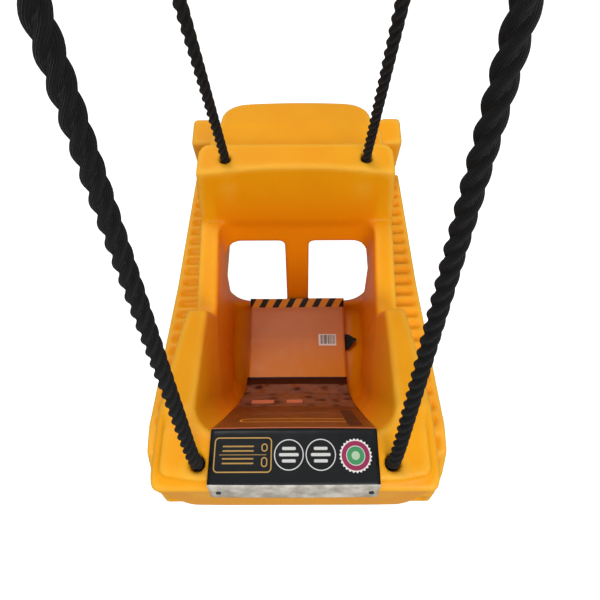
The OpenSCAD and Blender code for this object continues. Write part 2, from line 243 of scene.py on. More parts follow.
# ---- meshes from arrays ----
def make_piece(name, points, face_sets, finish, body, stands_for=(), run=None, marks=None):
    """A named piece from points in metres and faces as arrays of equal-sided rows. run is a UV pair per
    point, and marks are numbers per point that its finish reads. The faces are turned round if the volume
    inside them, a sum of a . (b x c) over their triangles, comes out negative."""
    volume = 0
    for f in face_sets:
        for k in range(1, f.shape[1] - 1):
            volume += (points[f[:, 0]] * np.cross(points[f[:, k]], points[f[:, k + 1]])).sum()
    if volume < 0:
        face_sets = [f[:, ::-1] for f in face_sets]
    mesh = bpy.data.meshes.new(name)
    corners = np.concatenate([f.ravel() for f in face_sets]).astype(np.int32)
    sizes = np.concatenate([np.full(len(f), f.shape[1]) for f in face_sets])
    mesh.vertices.add(len(points))
    mesh.vertices.foreach_set("co", np.ascontiguousarray(points, np.float32).ravel())
    mesh.loops.add(len(corners))
    mesh.loops.foreach_set("vertex_index", corners)
    mesh.polygons.add(len(sizes))
    mesh.polygons.foreach_set("loop_start", (np.cumsum(sizes) - sizes).astype(np.int32))
    if run is not None:
        layer = mesh.uv_layers.new(name="run")
        layer.data.foreach_set("uv", np.ascontiguousarray(run, np.float32)[corners].ravel())
    for mark, values in (marks or {}).items():
        mesh.attributes.new(mark, "FLOAT", "POINT").data.foreach_set("value", values.astype(np.float32))
    mesh.update(calc_edges=True)
    mesh.validate()
    mesh.shade_smooth()
    mesh.materials.append(finish)
    piece = bpy.data.objects.new(name, mesh)
    bpy.context.scene.collection.objects.link(piece)
    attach(piece, body)
    if stands_for:
        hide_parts(*stands_for)
    return piece


def strip_faces(rows, columns):
    """Quads over a grid of rows by columns, whose columns run round."""
    r = np.arange(rows - 1)[:, None]
    c = np.arange(columns)[None, :]
    d = (c + 1) % columns
    return np.stack([r * columns + c, r * columns + d, (r + 1) * columns + d, (r + 1) * columns + c],
                    -1).reshape(-1, 4)


def end_fans(rows, columns):
    """Triangles that close both ends of a ringed grid with one point each, added after the grid."""
    c = np.arange(columns)
    d = (c + 1) % columns
    first, last = rows * columns, rows * columns + 1
    near = np.stack([np.full(columns, first), d, c], -1)
    far = np.stack([np.full(columns, last), (rows - 1) * columns + c, (rows - 1) * columns + d], -1)
    return np.concatenate([near, far])


def run_along(line):
    """Length of a line from its start up to each point."""
    return np.concatenate([[0], np.cumsum(np.linalg.norm(np.diff(line, axis=0), axis=1))])


def smooth_route(corners, step, softness):
    """A polyline resampled every step and blurred by a bell of that softness, its two ends held."""
    corners = np.asarray(corners, float)
    run = run_along(corners)
    at = np.linspace(0, run[-1], int(round(run[-1] / step)) + 1)
    line = np.stack([np.interp(at, run, corners[:, k]) for k in range(3)], 1)
    reach = int(4 * softness / step)
    bell = np.exp(-0.5 * (np.arange(-reach, reach + 1) * step / softness) ** 2)
    bell /= bell.sum()
    before = 2 * line[0] - line[reach:0:-1]
    after = 2 * line[-1] - line[-2:-reach - 2:-1]
    padded = np.concatenate([before, line, after])
    return np.stack([np.convolve(padded[:, k], bell, "valid") for k in range(3)], 1)


def rings_along(line, up, spread):
    """Rings round a line: spread gives each ring's two offsets, along up made square to the line, and
    across."""
    ahead = np.gradient(line, axis=0)
    ahead /= np.linalg.norm(ahead, axis=1, keepdims=True)
    side = np.broadcast_to(np.asarray(up, float), line.shape)
    side = side - ahead * (side * ahead).sum(1, keepdims=True)
    side /= np.linalg.norm(side, axis=1, keepdims=True)
    over = np.cross(ahead, side)
    a, b = spread
    return line[:, None] + a[..., None] * side[:, None] + b[..., None] * over[:, None]


STRANDS, LAY = 3, 41.0                     # three strands, one turn in this length
THIRD = 2 * math.pi / STRANDS
VALLEY = 0.60                              # floor of the valley between strands, as a share of the radius
CORE, RELIEF = 0.22, 0.78                  # shares of the radius that stay plain and that follow the strands


def strand_shape(turn):
    """Radius of three round strands laid together, as a share of the rope's radius. Between two crowns the
    radius is c cos t + sqrt(s^2 - c^2 sin^2 t), with the strands' own radius s and the distance c of their
    middles from the rope's, and the deepest part of a valley is filled."""
    t = (turn + THIRD / 2) % THIRD - THIRD / 2
    s = 1 / (1 + 2 / math.sqrt(3)) * 1.02
    c = 1 - s
    shape = c * np.cos(t) + np.sqrt(np.maximum(s * s - (c * np.sin(t)) ** 2, 0.012))
    return CORE + RELIEF * np.maximum(shape, VALLEY)


def rope_skin(line, radius, sides=30, up=(1, 0, 0), taper=0.0):
    """A laid rope on a line: the strands' shape turns once in each lay. The last rings shrink by taper.
    Gives points, faces, the run over the surface in metres, and how high each point lies on a crown."""
    rows = len(line)
    run = run_along(line)
    angle = np.linspace(0, 2 * math.pi, sides, endpoint=False)[None, :]
    turn = angle - run[:, None] * 2 * math.pi / LAY
    shape = strand_shape(turn)
    ends = np.minimum(run, run[-1] - run) / radius
    close = 1 - taper * np.clip(1 - ends / 0.8, 0, 1)[:, None] ** 2
    size = radius * shape * close
    points = rings_along(line, up, (size * np.cos(angle), size * np.sin(angle))).reshape(-1, 3)
    points = np.concatenate([points, line[:1], line[-1:]])
    uv = np.stack(np.broadcast_arrays(((turn + THIRD / 2) % THIRD) * radius, run[:, None]), -1).reshape(-1, 2)
    uv = np.concatenate([uv, [[0, 0], [0, run[-1]]]]) / 1000
    valley = 0.69                          # radius share at which a point counts as no crown
    crown = np.concatenate([((shape - valley) / 0.31).ravel(), [0, 0]])
    return points, [strip_faces(rows, sides), end_fans(rows, sides)], uv, crown


# ---- ropes: one length each side, from the rear knot up round the thimble and down to the front knot ----
EYE_Z, LOOP_R = -95.2, 27.0                # thimble's middle, and radius of the rope's line round it
EYE_X, LEG_GAP = 88.0, 7.0                 # the eyes' place, and half the spacing of the two legs in a sleeve
FLUFF = 1.04                               # fibres stand this much proud of the rope's own radius


def rope_route(side):
    """The rope's line in millimetres from the hanging points. The legs run straight from a hole's rim to the
    sleeve, come together in it, and part again round the thimble, which is an arc of its own radius."""
    arc = np.radians(np.arange(202, -23, -8))
    around = np.stack([np.full(len(arc), EYE_X), LOOP_R * np.cos(arc), EYE_Z + LOOP_R * np.sin(arc)], 1)
    rise = [[100, -250, -876], [100, -250, -852], [99.8, -246.6, -832], [99.4, -237.4, -804],
            [88.4, -16.5, -200], [EYE_X, -9.8, -181], [EYE_X, -LEG_GAP, -164], [EYE_X, -LEG_GAP, -132],
            [EYE_X, -11.5, -121.5], [EYE_X, -19, -113]]
    fall = [[EYE_X, 19, -113], [EYE_X, 11.5, -121.5], [EYE_X, LEG_GAP, -132], [EYE_X, LEG_GAP, -164],
            [EYE_X, 9, -181], [88.4, 13.2, -200], [99.4, 145.8, -804], [99.8, 151.8, -832],
            [100, 154, -852], [100, 154, -876]]
    line = smooth_route(np.concatenate([rise, around, fall]), 1.6, 3.6)
    return line * [side, 1, 1]


def lay_rope(name, side, node):
    """One laid rope, in place of the CAD rope that it hides."""
    line = rope_route(side)
    points, faces, uv, crown = rope_skin(line, ROPE_D / 2 * FLUFF)
    rope = make_piece(name, points / 1000, faces, ROPE, "seat", (node,), uv, {"crown": crown})
    return rope, line / 1000


def knot_line(middle, turned):
    """An overhand knot: sin t + 2 sin 2t, cos t - 2 cos 2t and -sin 3t, drawn flat, with its two tails led up
    and down on the rope's own line."""
    t = np.linspace(0.35, 2 * math.pi - 0.35, 60) + math.pi / 6
    flat = np.stack([np.sin(t) + 2 * np.sin(2 * t), np.cos(t) - 2 * np.cos(2 * t), -np.sin(3 * t)], 1)
    loop = flat * [2.9, 2.9, 5.6]
    c, s = math.cos(turned), math.sin(turned)
    loop = loop @ np.array([[c, s, 0], [-s, c, 0], [0, 0, 1]])
    top, tail = np.array([[0, 0, 16.0], [0, 0, 11.0]]), np.array([[0, 0, -8.0], [1.0, 1.0, -13.0]])
    return smooth_route(np.concatenate([top, loop, tail]), 1.0, 1.6) + middle


def tie_knots():
    """The four stopper knots below the washers, as one piece."""
    points, faces, uvs, crowns, count = [], [[], []], [], [], 0
    holes = [(x, y) for y in (0, FRONT_HOLE_Y) for x in (-HOLE_X, HOLE_X)]
    for i, (x, y) in enumerate(holes):
        middle = np.array([x, y, -SHELF_DEPTH - 2 - 12.0])     # below the washer and half the knot's height
        p, f, uv, crown = rope_skin(knot_line(middle, 0.4 + 1.3 * i), 5.4, 18, (0.3, 0.2, 1.0), 0.9)
        points.append(place(p))
        uvs.append(uv)
        crowns.append(crown)
        for k in (0, 1):
            faces[k].append(f[k] + count)
        count += len(p)
    return make_piece("stopper_knots_tied", np.concatenate(points), [np.concatenate(f) for f in faces],
                      ROPE, "seat", ("stopper_knots",), np.concatenate(uvs),
                      {"crown": np.concatenate(crowns)})


tie_knots()
for side, hand in ((-1, "left"), (1, "right")):
    rope, path = lay_rope(f"laid_rope_{hand}", side, f"rope_{hand}")


# ---- the seat: one seamless moulding, worked out as a field of distances ----
STEP = 4.18                                # grid step
FAR = 14.0                                 # distances are held within this
across = np.arange(0, TRACK_X + 16, STEP)
ahead = np.arange(-56.0, 634, STEP)
height = np.arange(-340.0, 20, STEP)
X = across[:, None, None]
Y = ahead[None, :, None]
Z = height[None, None, :]


def outline_distance(outline, y, z):
    """Signed distance to a closed outline in the YZ plane, negative inside, and the run along the outline to
    the nearest point: for each side, the point is clamped to it, and a level ray's crossings tell inside."""
    outline = np.asarray(outline, float)
    best = np.full(np.broadcast(y, z).shape, 1e18)
    run = np.zeros_like(best)
    inside = np.zeros(best.shape, bool)
    gone = 0.0
    for a, b in zip(outline, np.roll(outline, -1, 0)):
        d = b - a
        length = math.hypot(*d)
        t = np.clip(((y - a[0]) * d[0] + (z - a[1]) * d[1]) / length ** 2, 0, 1)
        gap = (y - a[0] - t * d[0]) ** 2 + (z - a[1] - t * d[1]) ** 2
        run = np.where(gap < best, gone + t * length, run)
        best = np.minimum(best, gap)
        if d[1]:
            crossing = (a[1] > z) != (b[1] > z)
            inside ^= crossing & (y < a[0] + d[0] * (z - a[1]) / d[1])
        gone += length
    return np.where(inside, -1, 1) * np.sqrt(best), run


def profile(outline):
    """Distance to an outline that runs right through along X."""
    return outline_distance(outline, Y, Z)[0]


def both(*fields):
    """The space common to all."""
    out = fields[0]
    for f in fields[1:]:
        out = np.maximum(out, f)
    return out


def round_both(a, b, r):
    """The space common to two, with their shared edge rounded to radius r."""
    reach = np.sqrt(np.maximum(a + r, 0) ** 2 + np.maximum(b + r, 0) ** 2)
    return reach + np.minimum(-r, np.maximum(a, b))


def ease(value, low, high):
    """0 below low, 1 above high, and 3t^2 - 2t^3 between."""
    t = np.clip((value - low) / (high - low), 0, 1)
    return t * t * (3 - 2 * t)


def slab(value, low, high):
    return np.maximum(low - value, value - high)


def seat_field():
    """The moulding before its edges are eased: negative inside the plastic."""
    # walls and seat back, a step lower than the deck round the rear rope holes
    wall = [(-38, BASE_Z), (321, BASE_Z), (386, -120), (480, -120), (480, UNDER_DASH), (352, UNDER_DASH),
            (300, -106), (228, -122),
            (216, -121), (204, -77), (150, -49), (60, -8), (30, -7), (-26, -7), (-28, -40), (-38, -110)]
    deck = [(-24, -40), (206, -120), (204, -75), (150, -47), (60, -5), (30, 0), (-20, 0), (-22, -4)]
    body = round_both(profile(wall), X - WALL_X, 2)
    body = both(body, round_both(X - WALL_X, -38 - Y, 30))
    deck_x = DASH_X + 11 * ease(Y, 20, 110)
    bowed = 9 * (X / DASH_X) ** 2 - 21 - Y
    body = np.minimum(body, both(profile(deck), round_both(X - deck_x, bowed, 8)))
    # nose and hood
    body = np.minimum(body, both(slab(Y, 470, 556), X - WALL_X, slab(Z, BASE_Z, UNDER_DASH)))
    hood = [(425, -110), (560, -110), (561, -50), (556, -37), (500, -25), (425, -15)]
    crown = (X / HOOD_X) ** 2
    hood = both(outline_distance(hood, Y, Z + 5 * crown * ease(Z, -100, -60))[0],
                round_both(X - HOOD_X + 4 * ease(Y, 480, 560), Y - 561 + 9 * crown, 30))
    for slot_y in (462, 480, 498):
        hood = both(hood, -both(slab(Y, slot_y - 4, slot_y + 4), slab(Z, -84, -50), HOOD_X - 6 - X))
    body = np.minimum(body, hood)
    # dash: its rear face bows away from the child at the top and stands straight at the lip
    drop = np.clip(Z / UNDER_DASH, 0, 1)
    face = (1 - drop) * (388 - 13 * (X / DASH_X) ** 2) + drop * 364
    dash_x = DASH_X + 11 * drop
    dash = both(face - Y, slab(Z, -120, 0), round_both(X - dash_x, Y - 433, 18))
    body = np.minimum(body, dash)
    # blade with a hollow front, and its ends brought forward
    front = [(552, BASE_Z), (600, BASE_Z), (601, -300), (592, -286), (585, -262), (581, -235), (583, -205),
             (590, -175), (601, -146), (610, -128), (608, -118), (552, -124)]
    set_back = 16 * (1 - ease(X, 138, 160)) * ease(Z, -170, -118)
    blade = outline_distance(front, Y + set_back * ease(Y, 560, 600), Z)[0]
    body = np.minimum(body, round_both(blade, X - BLADE_X, 7))
    # seat hollow and the space for the lower legs
    hollow = [(24, 40), (30, 0), (46, -52), (86, -172), (110, -240), (140, -286), (150, -299), (162, FLOOR_Z),
              (290, FLOOR_Z), (302, -300), (370, UNDER_DASH), (368, -86), (368, 40)]
    draft = 0.12 * np.maximum(Z + 120, 0) - 0.14 * np.clip(216 - Y, 0, 190)
    bowl = round_both(profile(hollow), X - BOWL_X - draft, 27)
    body = np.minimum(both(body, -bowl), dash)
    legs = [(321, -345), (321, BASE_Z), (393, -101), (398, UNDER_DASH - 3), (480, UNDER_DASH - 3),
            (480, -345)]
    body = both(body, -round_both(profile(legs), X - BOWL_X, 14))
    # crawler tracks: waves run over the top and round the rear, and wheels stand in a recess outside
    crawler = [(-2, BASE_Z + 6), (557, BASE_Z + 6), (557, -223), (480, -214), (300, -194), (150, -164),
               (60, -146), (28, -152), (4, -184), (-18, -234), (-28, -272), (-22, -302)]
    edge, run = outline_distance(crawler, Y, Z)
    past = run - TOP_RUN
    pitch = np.where(past < 0, TOP_PITCH, REAR_PITCH)
    wave = np.clip(np.cos(2 * math.pi * past / pitch) * 1.5 + 0.6, 0, 1.6) / 1.6
    rim = ease(X, 189, 195)
    wave = (wave * (1 - rim) + 0.95 * rim) * ease(run, 20, 60)
    plate = both(edge - 6.0 * wave, slab(X, WALL_X - 8, TRACK_X), BASE_Z - Z)
    groove = both(edge - 0.5, slab(X, WALL_X - 8, 158))
    track = np.minimum(both(plate, 157 - X), groove)
    track = both(track, -both(edge + 25, 196.5 - X))
    for wheel_y, wheel_z, size in WHEELS:
        gap = np.sqrt((Y - wheel_y) ** 2 + (Z - wheel_z) ** 2)
        wheel = both(gap - size, slab(X, 180, 202))
        if size > 20:
            wheel = both(wheel, -both(slab(gap, 0.48 * size, 0.78 * size), 197.5 - X))
        track = np.minimum(track, wheel)
    return np.minimum(body, track)


TOP_RUN = 1161.0           # run of the crawler's outline up to the crest over its rear wheel
TOP_PITCH, REAR_PITCH = 22.2, 33.3         # one wave of the crawler before that crest and after it
# wheels and rollers: Y, Z and radius
WHEELS = [(52, -234, 50), (500, -271, 24)] + [(y, -283, 17) for y in (136, 196, 256, 316, 376, 436)]


def openings_field(x, y, z):
    """Rope holes with the knot wells below them, and the two leg openings in the leaning panel: a rectangle
    with a small radius at the crotch post and large ones outside, carried square through the panel."""
    x = np.abs(x)
    cut = np.full(np.broadcast(x, y, z).shape, 1e9)
    for hole_y in (0, FRONT_HOLE_Y):
        gap = np.hypot(x - HOLE_X, y - hole_y)
        cut = np.minimum(cut, gap - 8)
        cut = np.minimum(cut, both(gap - 19, z + SHELF_DEPTH))
    lean_c, lean_s = math.cos(PANEL_LEAN), math.sin(PANEL_LEAN)
    down = -(y - PANEL_TOP[0]) * lean_s - (z - PANEL_TOP[1]) * lean_c
    through = (y - PANEL_TOP[0]) * lean_c - (z - PANEL_TOP[1]) * lean_s
    u, v = x - 75, down - 125
    v = v - np.where(v > 0, 0.7 * np.clip(through, 0, 40), 0)
    radius = np.where(u < 0, 10, np.where(v < 0, 27, 42))
    a, b = np.abs(u) - 55 + radius, np.abs(v) - 75 + radius
    leg = np.hypot(np.maximum(a, 0), np.maximum(b, 0)) + np.minimum(np.maximum(a, b), 0) - radius
    leg = leg + 0.6 * np.clip(-through, 0, 30)
    return np.minimum(cut, both(leg, slab(through, -34, 42)))


def soften(field, cells):
    """The field blurred by a bell of so many cells along each axis, which eases every edge and corner."""
    reach = int(4 * cells) + 1
    bell = np.exp(-0.5 * (np.arange(-reach, reach + 1) / cells) ** 2)
    bell /= bell.sum()
    for axis in range(3):
        padded = np.pad(field, [(reach, reach) if k == axis else (0, 0) for k in range(3)], "edge")
        cells_in = field.shape[axis]
        field = sum(w * np.take(padded, np.arange(i, i + cells_in), axis) for i, w in enumerate(bell))
    return field


def soft_cut(a, b, k):
    """The larger of two fields, with the edge between them eased over k."""
    h = np.clip(0.5 + 0.5 * (a - b) / k, 0, 1)
    return b + (a - b) * h + k * h * (1 - h)


def sample(field, points, origin):
    """The field between grid points, by weights along the three axes."""
    at = (points - origin) / STEP
    low = np.clip(np.floor(at).astype(int), 0, np.array(field.shape) - 2)
    t = at - low
    total = 0
    for corner in np.ndindex(2, 2, 2):
        c = np.array(corner)
        weight = np.prod(np.where(c, t, 1 - t), 1)
        total = total + weight * field[tuple((low + c).T)]
    return total


def wrap_field(field, origin):
    """A closed skin of quads where the field is nought. One point per cell that the surface crosses, at the
    mean of the crossings on its sides, and one quad per grid side that changes sign."""
    shape = np.array(field.shape)
    cells = shape - 1
    total, count, quads = np.zeros((cells.prod(), 3)), np.zeros(cells.prod()), []
    inside = field < 0
    for axis in range(3):
        a = np.take(inside, np.arange(shape[axis] - 1), axis)
        b = np.take(inside, np.arange(1, shape[axis]), axis)
        at = np.argwhere(a != b)
        beyond = at.copy()
        beyond[:, axis] += 1
        fa, fb = field[tuple(at.T)], field[tuple(beyond.T)]
        crossing = at.astype(float)
        crossing[:, axis] += np.clip(fa / (fa - fb), 0.1, 0.9)
        u, v = (axis + 1) % 3, (axis + 2) % 3
        around = []
        for du, dv in ((-1, -1), (0, -1), (0, 0), (-1, 0)):
            cell = at.copy()
            cell[:, u] += du
            cell[:, v] += dv
            flat = np.ravel_multi_index(tuple(cell.T), tuple(cells))
            total += np.stack([np.bincount(flat, crossing[:, k], cells.prod()) for k in range(3)], 1)
            count += np.bincount(flat, minlength=cells.prod())
            around.append(flat)
        quad = np.stack(around, 1)
        flip = fa > 0
        quad[flip] = quad[flip][:, ::-1]
        quads.append(quad)
    used = np.flatnonzero(count)
    number = np.zeros(len(count), int)
    number[used] = np.arange(len(used))
    return total[used] / count[used, None] * STEP + origin, number[np.concatenate(quads)]


def mould_seat():
    """The whole moulding as one skin: field, eased edges, openings, skin, then points that are evened out and
    drawn back on to the surface along the field's slope."""
    half = np.clip(seat_field(), -FAR, FAR)
    solid = soften(np.concatenate([half[:0:-1], half]), 0.5)
    x_all = np.concatenate([-across[:0:-1], across])
    origin = np.array([x_all[0], ahead[0], height[0]])
    cut = np.clip(-openings_field(x_all[:, None, None], Y, Z), -FAR, FAR)
    field = soft_cut(solid, cut, 5)
    points, quads = wrap_field(field, origin)
    for relax in (0.5, 0.5, 0.35, 0.0):
        if relax:
            mean, hits = np.zeros_like(points), np.zeros(len(points))
            for k in range(4):
                for other in (1, 3):
                    np.add.at(mean, quads[:, k], points[quads[:, (k + other) % 4]])
                    np.add.at(hits, quads[:, k], 1)
            points = points + relax * (mean / hits[:, None] - points)
        for _ in range(2):
            slope = np.stack([sample(field, points + e, origin) - sample(field, points - e, origin)
                              for e in np.eye(3) * 2.0], 1) / 4.0
            steep = np.maximum((slope ** 2).sum(1), 0.09)
            points = points - np.clip(sample(field, points, origin) / steep, -2, 2)[:, None] * slope
    # marks for the finish: how far an edge stands out (rubbed paler) or lies in (darkened as painted shade),
    # and the hollow's inside (a deeper orange as painted shade)
    wide = soften(np.clip(field, -10, 10), 1.6)
    edge = np.clip(sample(wide, points, origin) / 2.2, -1, 1)
    points[:, 2] = np.maximum(points[:, 2], BASE_Z)
    x, y, z = np.abs(points[:, 0]), points[:, 1], points[:, 2]
    # painted shade mask: the hollow's inside, where the finish deepens the orange
    hollow = ease(-z, 0, 110) * (1 - ease(x, 119, 127)) * ease(y, 20, 50) * (1 - ease(y, 395, 410))
    return make_piece("moulded_seat", place(points), [quads], YELLOW, "seat",
                      ("seat_back", "seat_floor", "side_wall_left", "side_wall_right", "front_panel", "dash",
                       "hood", "nose", "blade", "track_left", "track_right"),
                      marks={"edge": edge, "hollow": hollow})


mould_seat()


# ---- folded card and lap strap ----
def band_ring(count):
    """One ring of a flat band, over the top from side to side and back underneath: its place across, from -1
    to 1, and 1 on top or -1 underneath."""
    u = np.linspace(-1, 1, count)
    return np.concatenate([u, u[::-1]]), np.repeat([1.0, -1.0], count)


def band_faces(rows, count):
    """Quads over a band's rings, with both its ends closed."""
    c = np.arange(count - 1)
    end = np.stack([c, 2 * count - 1 - c, 2 * count - 2 - c, c + 1], -1)
    return [np.concatenate([strip_faces(rows, 2 * count), end, end[:, ::-1] + (rows - 1) * 2 * count])]


def band_skin(line, half_width, thickness, count, bow, shift):
    """A thin band on a line, with its width along X, whose middle is lifted by a parabola of height bow.
    Gives points, faces, the run over the surface in metres, and 1 on the printed side."""
    u, face = band_ring(count)
    shape = (len(line), 2 * count)
    wide = np.broadcast_to(u * half_width + shift, shape)
    high = np.broadcast_to(-(face * thickness / 2 + bow * (1 - u ** 2)), shape)
    points = rings_along(line, (1, 0, 0), (wide, high)).reshape(-1, 3)
    uv = np.stack(np.broadcast_arrays(wide, run_along(line)[:, None]), -1).reshape(-1, 2) / 1000
    return points, band_faces(len(line), count), uv, np.broadcast_to(face > 0, shape).ravel().astype(float)


CARD_HALF = 86.5                           # half the card's width
CARD_FOLDS = [(-30.5, -28), (-21, 2.4), (33, 2.4), (54, -62), (100, -190), (130, -248), (160, -279),
              (236, -285), (290, -279), (309, -265)]


def printed_card():
    """Coated card with a generic print: bands, rules, plain shapes and a bar block, and no lettering."""
    f = Finish("printed_card", Specular_IOR_Level=0.22, Coat_Weight=0.03, Coat_Roughness=0.25)
    u, v = f.uv()
    v = f.sum("ADD", v, 12.4)              # the print starts this far before the rear flap's edge

    def step(value, low, high):
        return f.sum("MULTIPLY", f.sum("GREATER_THAN", value, low), f.sum("LESS_THAN", value, high))

    def shape(mu, mv, hu, hv, r):
        """Distance to a rectangle with rounded corners."""
        a = f.sum("SUBTRACT", f.sum("ABSOLUTE", f.sum("SUBTRACT", u, mu)), hu - r)
        b = f.sum("SUBTRACT", f.sum("ABSOLUTE", f.sum("SUBTRACT", v, mv)), hv - r)
        a2, b2 = f.sum("MAXIMUM", a, 0.0), f.sum("MAXIMUM", b, 0.0)
        out = f.sum("SQRT", f.sum("ADD", f.sum("MULTIPLY", a2, a2), f.sum("MULTIPLY", b2, b2)))
        return f.sum("SUBTRACT", f.sum("ADD", out, f.sum("MINIMUM", f.sum("MAXIMUM", a, b), 0.0)), float(r))

    def filled(d, share=1.0):
        return f.span(d, -0.25, 0.25, share, 0.0)

    def line_round(d, w):
        return filled(f.sum("SUBTRACT", f.sum("ABSOLUTE", d), w))

    def paint(colour, share, ink):
        return f.mix(share, colour, ink)

    white, gold, pale = (0.78, 0.78, 0.76), (0.62, 0.36, 0.10), (0.85, 0.83, 0.80)
    # upper panel: brown ground, darker and redder towards the seat, with blurred shapes
    low = f.span(v, 100, 300)
    colour = f.mix(low, (0.27, 0.080, 0.012), (0.080, 0.018, 0.010))
    blur = f.noise(38, 3, 0.6)
    colour = f.mix(f.span(blur, 0.45, 0.7, 0, 0.55), colour, (0.30, 0.085, 0.015))
    scene_in = step(v, 262, 392)
    rubble = f.add("ShaderNodeTexVoronoi", {"Vector": f.spot, "Scale": 62.0}, feature="F1")
    colour_of = f.noise(37, 1, 0.5, rubble.outputs["Position"])
    stone = f.mix(f.span(colour_of, 0.42, 0.58), (0.050, 0.008, 0.008), (0.30, 0.10, 0.03))
    stone = f.mix(f.span(rubble.outputs["Distance"], 0.32, 0.50, 0, 0.55), stone, (0.30, 0.17, 0.13))
    colour = f.mix(f.sum("MULTIPLY", scene_in, 0.85), colour, stone)
    # title plaque, left blank, with a hatched ground
    plaque = shape(2, 152, 66, 12, 9)
    hatch = f.sum("GREATER_THAN", f.sum("SINE", f.sum("MULTIPLY", f.sum("ADD", u, v), 1.1)), 0.1)
    colour = paint(colour, filled(plaque, 0.75), (0.05, 0.014, 0.006))
    hatched = f.sum("MULTIPLY", filled(plaque), f.sum("MULTIPLY", hatch, 0.5))
    colour = paint(colour, hatched, (0.85, 0.30, 0.03))
    colour = paint(colour, line_round(plaque, 1.3), (0.95, 0.40, 0.05))
    for at, half in ((196, 58), (207, 44)):
        colour = paint(colour, filled(shape(0, at, half, 1.0, 0.9), 0.35), (0.60, 0.40, 0.28))
    for at, half in ((-52, 17), (-4, 12)):
        colour = paint(colour, filled(shape(at, 305, half, 11, 3), 0.9), (0.83, 0.27, 0.16))
    colour = paint(colour, f.sum("MULTIPLY", step(u, 58, 74), step(v, 112, 232)), (0.055, 0.02, 0.014))
    # dark strip, then the plain orange panel that lies on the seat, its orange print turning paler and pinker
    # towards the far end as a painted sheen
    colour = paint(colour, step(v, 390, 412), (0.035, 0.008, 0.006))
    # painted sheen: the panel's orange blends towards a pale pink over its far part
    flat = f.mix(f.span(v, 430, 500), (0.80, 0.25, 0.003), (0.66, 0.235, 0.085))
    colour = paint(colour, f.sum("GREATER_THAN", v, 412.0), flat)
    bars = f.sum("GREATER_THAN", f.noise(1, 1, 0.5, f.stretch((620, 0, 0))), 0.5)
    code = shape(54, 482, 16, 11, 0.5)
    colour = paint(colour, filled(code), pale)
    bars = f.sum("MULTIPLY", bars, filled(shape(54, 483, 14, 8.5, 0.3)))
    colour = paint(colour, bars, (0.02, 0.02, 0.02))
    lean = f.sum("ADD", f.sum("ADD", u, 200.0), f.sum("MULTIPLY", v, -0.55))
    slant = f.sum("FRACT", f.sum("DIVIDE", lean, 24.6))
    stripe = f.mix(f.sum("LESS_THAN", slant, 0.46), (0.82, 0.30, 0.02), (0.012, 0.012, 0.012))
    colour = paint(colour, f.sum("GREATER_THAN", v, 545.5), stripe)
    # black band over the seat back
    colour = paint(colour, f.sum("LESS_THAN", v, 102.0), (0.90, 0.29, 0.16))
    colour = paint(colour, f.sum("LESS_THAN", v, 98.6), (0.006, 0.008, 0.010))
    box = shape(-53, 72, 29, 16.5, 4)
    colour = paint(colour, line_round(box, 0.55), gold)
    for at, half in ((66, 16), (78, 16)):
        for drop in (-2.2, 2.2):
            colour = paint(colour, filled(shape(-58, at + drop, half, 0.7, 0.6), 0.8), gold)
    colour = paint(colour, filled(shape(-53, 72, 24, 0.3, 0.1), 0.8), gold)
    for at, long in ((65, 4.2), (79, 3.4)):
        colour = paint(colour, line_round(shape(-31, at, 2.6, long, 2.5), 0.5), gold)
    for at, r in ((-6, 14.6), (26.5, 14.9)):
        colour = paint(colour, line_round(shape(at, 72, r, r, r - 0.1), 0.45), white)
        for drop, half in ((-6, 7), (0, 10), (6, 7)):
            colour = paint(colour, filled(shape(at, 72 + drop, half, 1.5, 1.2), 0.85), white)
    turn = f.sum("ARCTAN2", f.sum("SUBTRACT", v, 71.0), f.sum("SUBTRACT", u, 62.0))
    scallop = f.sum("MULTIPLY", f.sum("SINE", f.sum("MULTIPLY", turn, 26.0)), 0.7)
    seal = f.sum("ADD", shape(62, 71, 16, 16, 15.9), scallop)
    colour = paint(colour, filled(seal), pale)
    rings = ((14.4, (0.32, 0.03, 0.10)), (9.6, pale), (9.0, (0.06, 0.30, 0.12)), (4.2, (0.45, 0.62, 0.42)))
    for r, ink in rings:
        colour = paint(colour, filled(shape(62, 71, r, r, r - 0.1)), ink)
    # pale rear flap, and the plain back of the card
    haze = f.noise(55, 3, 0.6)
    flap = f.mix(f.span(haze, 0.35, 0.65), (0.40, 0.37, 0.30), (0.74, 0.72, 0.66))
    colour = paint(colour, f.sum("LESS_THAN", v, 44.0), flap)
    grain = f.noise(600, 3, 0.6)
    printed = f.attribute("printed")
    plain = f.mix(f.span(grain, 0.3, 0.7), (0.50, 0.44, 0.35), (0.60, 0.54, 0.45))
    f.set(Base_Color=f.mix(f.sum("GREATER_THAN", printed, 0.5), plain, colour),
          Roughness=f.mix(f.span(haze, 0.3, 0.7), (0.30, 0.30, 0.30), (0.42, 0.42, 0.42)),
          Normal=f.bump(f.sum("ADD", f.noise(30, 2), f.sum("MULTIPLY", grain, 0.02)), 0.0012))
    return f.made


def fold_card():
    """The card over the seat back: soft folds along its route, and a slight bow across it."""
    line = smooth_route([(0, y, z) for y, z in CARD_FOLDS], 1.5, 2.4)
    points, faces, uv, printed = band_skin(line, CARD_HALF, 0.9, 40, 0.8, -1.0)
    run, x = uv[:, 1] * 1000, points[:, 0]
    wave = (1.2 * np.sin(x / 31) * ease(run, 420, 520)
            + 0.9 * np.sin(x / 23 + 1) * ease(run, 110, 200) * (1 - ease(run, 330, 400)))
    points[:, 2] += wave
    return make_piece("printed_card_folded", place(points), faces, printed_card(), "seat",
                      ("hang_card",), uv, {"printed": printed})


fold_card()


STRAP_Y, STRAP_HALF = 236.0, 15.0          # the strap's place on the floor, and half its width


